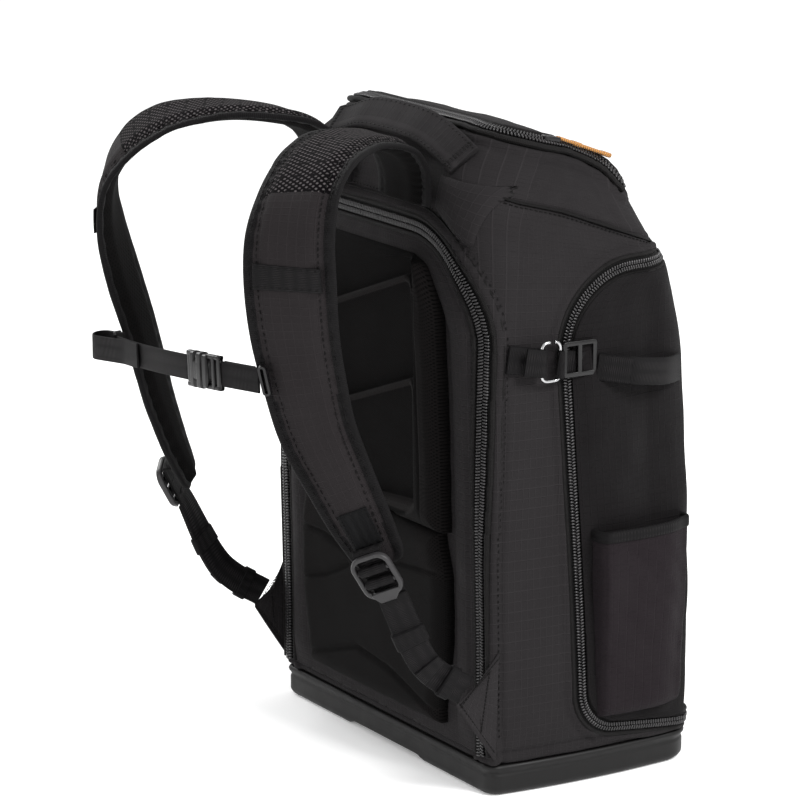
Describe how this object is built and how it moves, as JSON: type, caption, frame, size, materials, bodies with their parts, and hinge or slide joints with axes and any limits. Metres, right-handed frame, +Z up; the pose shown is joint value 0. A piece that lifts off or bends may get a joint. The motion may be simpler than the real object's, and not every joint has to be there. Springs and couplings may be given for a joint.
{
  "type": "camera backpack",
  "caption": "Upright camera backpack with a zipped padded back door, curved shoulder straps, sternum strap, moulded base and a side pocket.",
  "frame": {"origin": "middle of the base tray's underside, in its plane", "axes": "+X to the right as the harness side is seen, +Y from the harness to the front, +Z up"},
  "size_m": [0.36, 0.3844, 0.509],
  "materials": {
    "ripstop": "fine ripstop weave",
    "padding_mesh": "spacer mesh over foam",
    "webbing": "woven",
    "moulded_foam": "satin",
    "zip_coil": "satin",
    "black_plastic": "satin",
    "grey_plastic": "satin",
    "steel_wire": "polished",
    "amber_cord": "twisted cord",
    "label_fabric": "flat"
  },
  "bodies": {
    "root": {"main_shell": "ripstop", "back_door": "ripstop", "back_zip": "zip_coil", "lid": "ripstop", "lid_zip": "zip_coil", "base_tray": "moulded_foam", "back_pad": "padding_mesh", "lumbar_pad": "padding_mesh", "grab_handle": "webbing", "lid_slider": "black_plastic", "lid_pull": "amber_cord", "sternum_web_right": "webbing", "sternum_web_left": "webbing", "sternum_tail": "webbing", "buckle_socket": "black_plastic", "buckle_plug": "black_plastic", "strap_label": "label_fabric", "pocket_zip": "zip_coil", "side_gusset": "ripstop", "side_pocket": "ripstop", "side_strap_back": "webbing", "side_hook": "steel_wire", "side_glide": "black_plastic", "side_strap_front": "webbing", "shoulder_strap_right": "ripstop", "strap_band_right": "webbing", "strap_tab_right": "webbing", "short_web_right": "webbing", "lower_web_right": "webbing", "anchor_gusset_right": "ripstop", "sternum_ring_right": "black_plastic", "ladder_lock_right": "grey_plastic", "shoulder_strap_left": "ripstop", "strap_band_left": "webbing", "strap_tab_left": "webbing", "short_web_left": "webbing", "lower_web_left": "webbing", "anchor_gusset_left": "ripstop", "sternum_ring_left": "black_plastic", "ladder_lock_left": "grey_plastic"}
  },
  "joints": []
}
